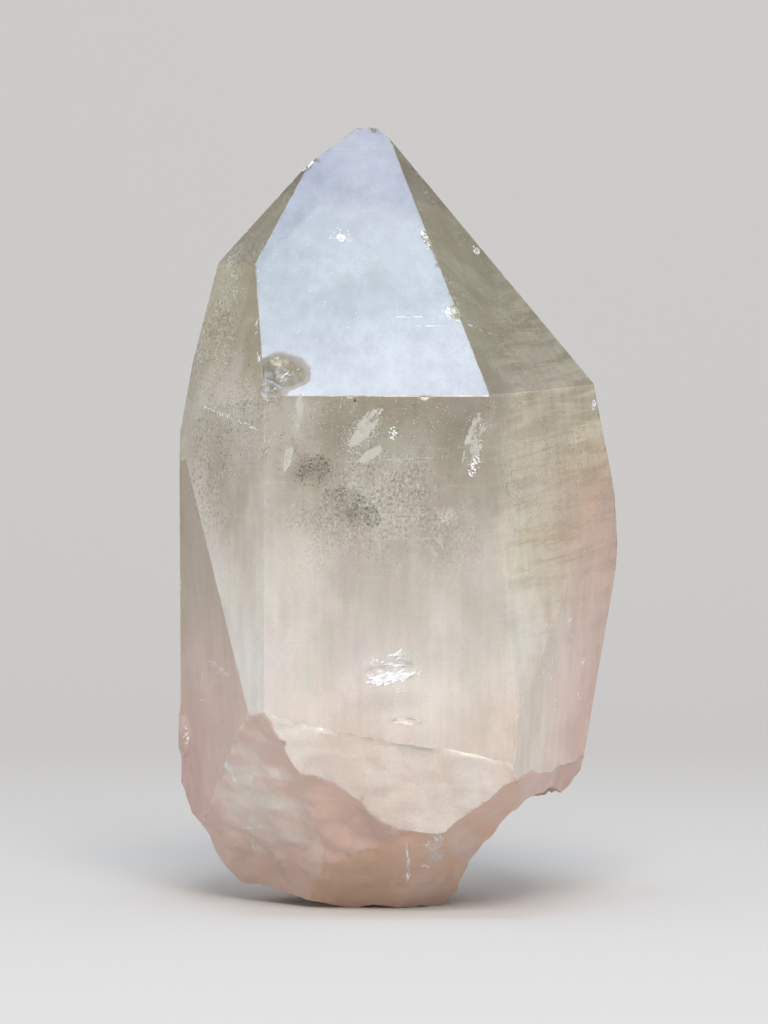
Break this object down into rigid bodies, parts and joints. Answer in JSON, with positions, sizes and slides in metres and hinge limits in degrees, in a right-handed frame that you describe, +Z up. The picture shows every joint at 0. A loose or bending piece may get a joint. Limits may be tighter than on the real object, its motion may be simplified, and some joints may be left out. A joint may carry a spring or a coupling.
{
  "type": "quartz crystal",
  "caption": "Upright clear quartz crystal with a six-sided prism, a faceted point and a broken shell-like foot that it stands on.",
  "frame": {"origin": "on the surface that the crystal stands on, under the middle of its box", "axes": "+Z up along the crystal's long axis to its point, -Y towards the viewer of the picture, +X to the viewer's right"},
  "size_m": [0.0688, 0.0538, 0.1203],
  "materials": {
    "quartz": "clear to milky natural quartz, glassy faces"
  },
  "bodies": {
    "root": {"quartz_crystal": "quartz"}
  },
  "joints": []
}
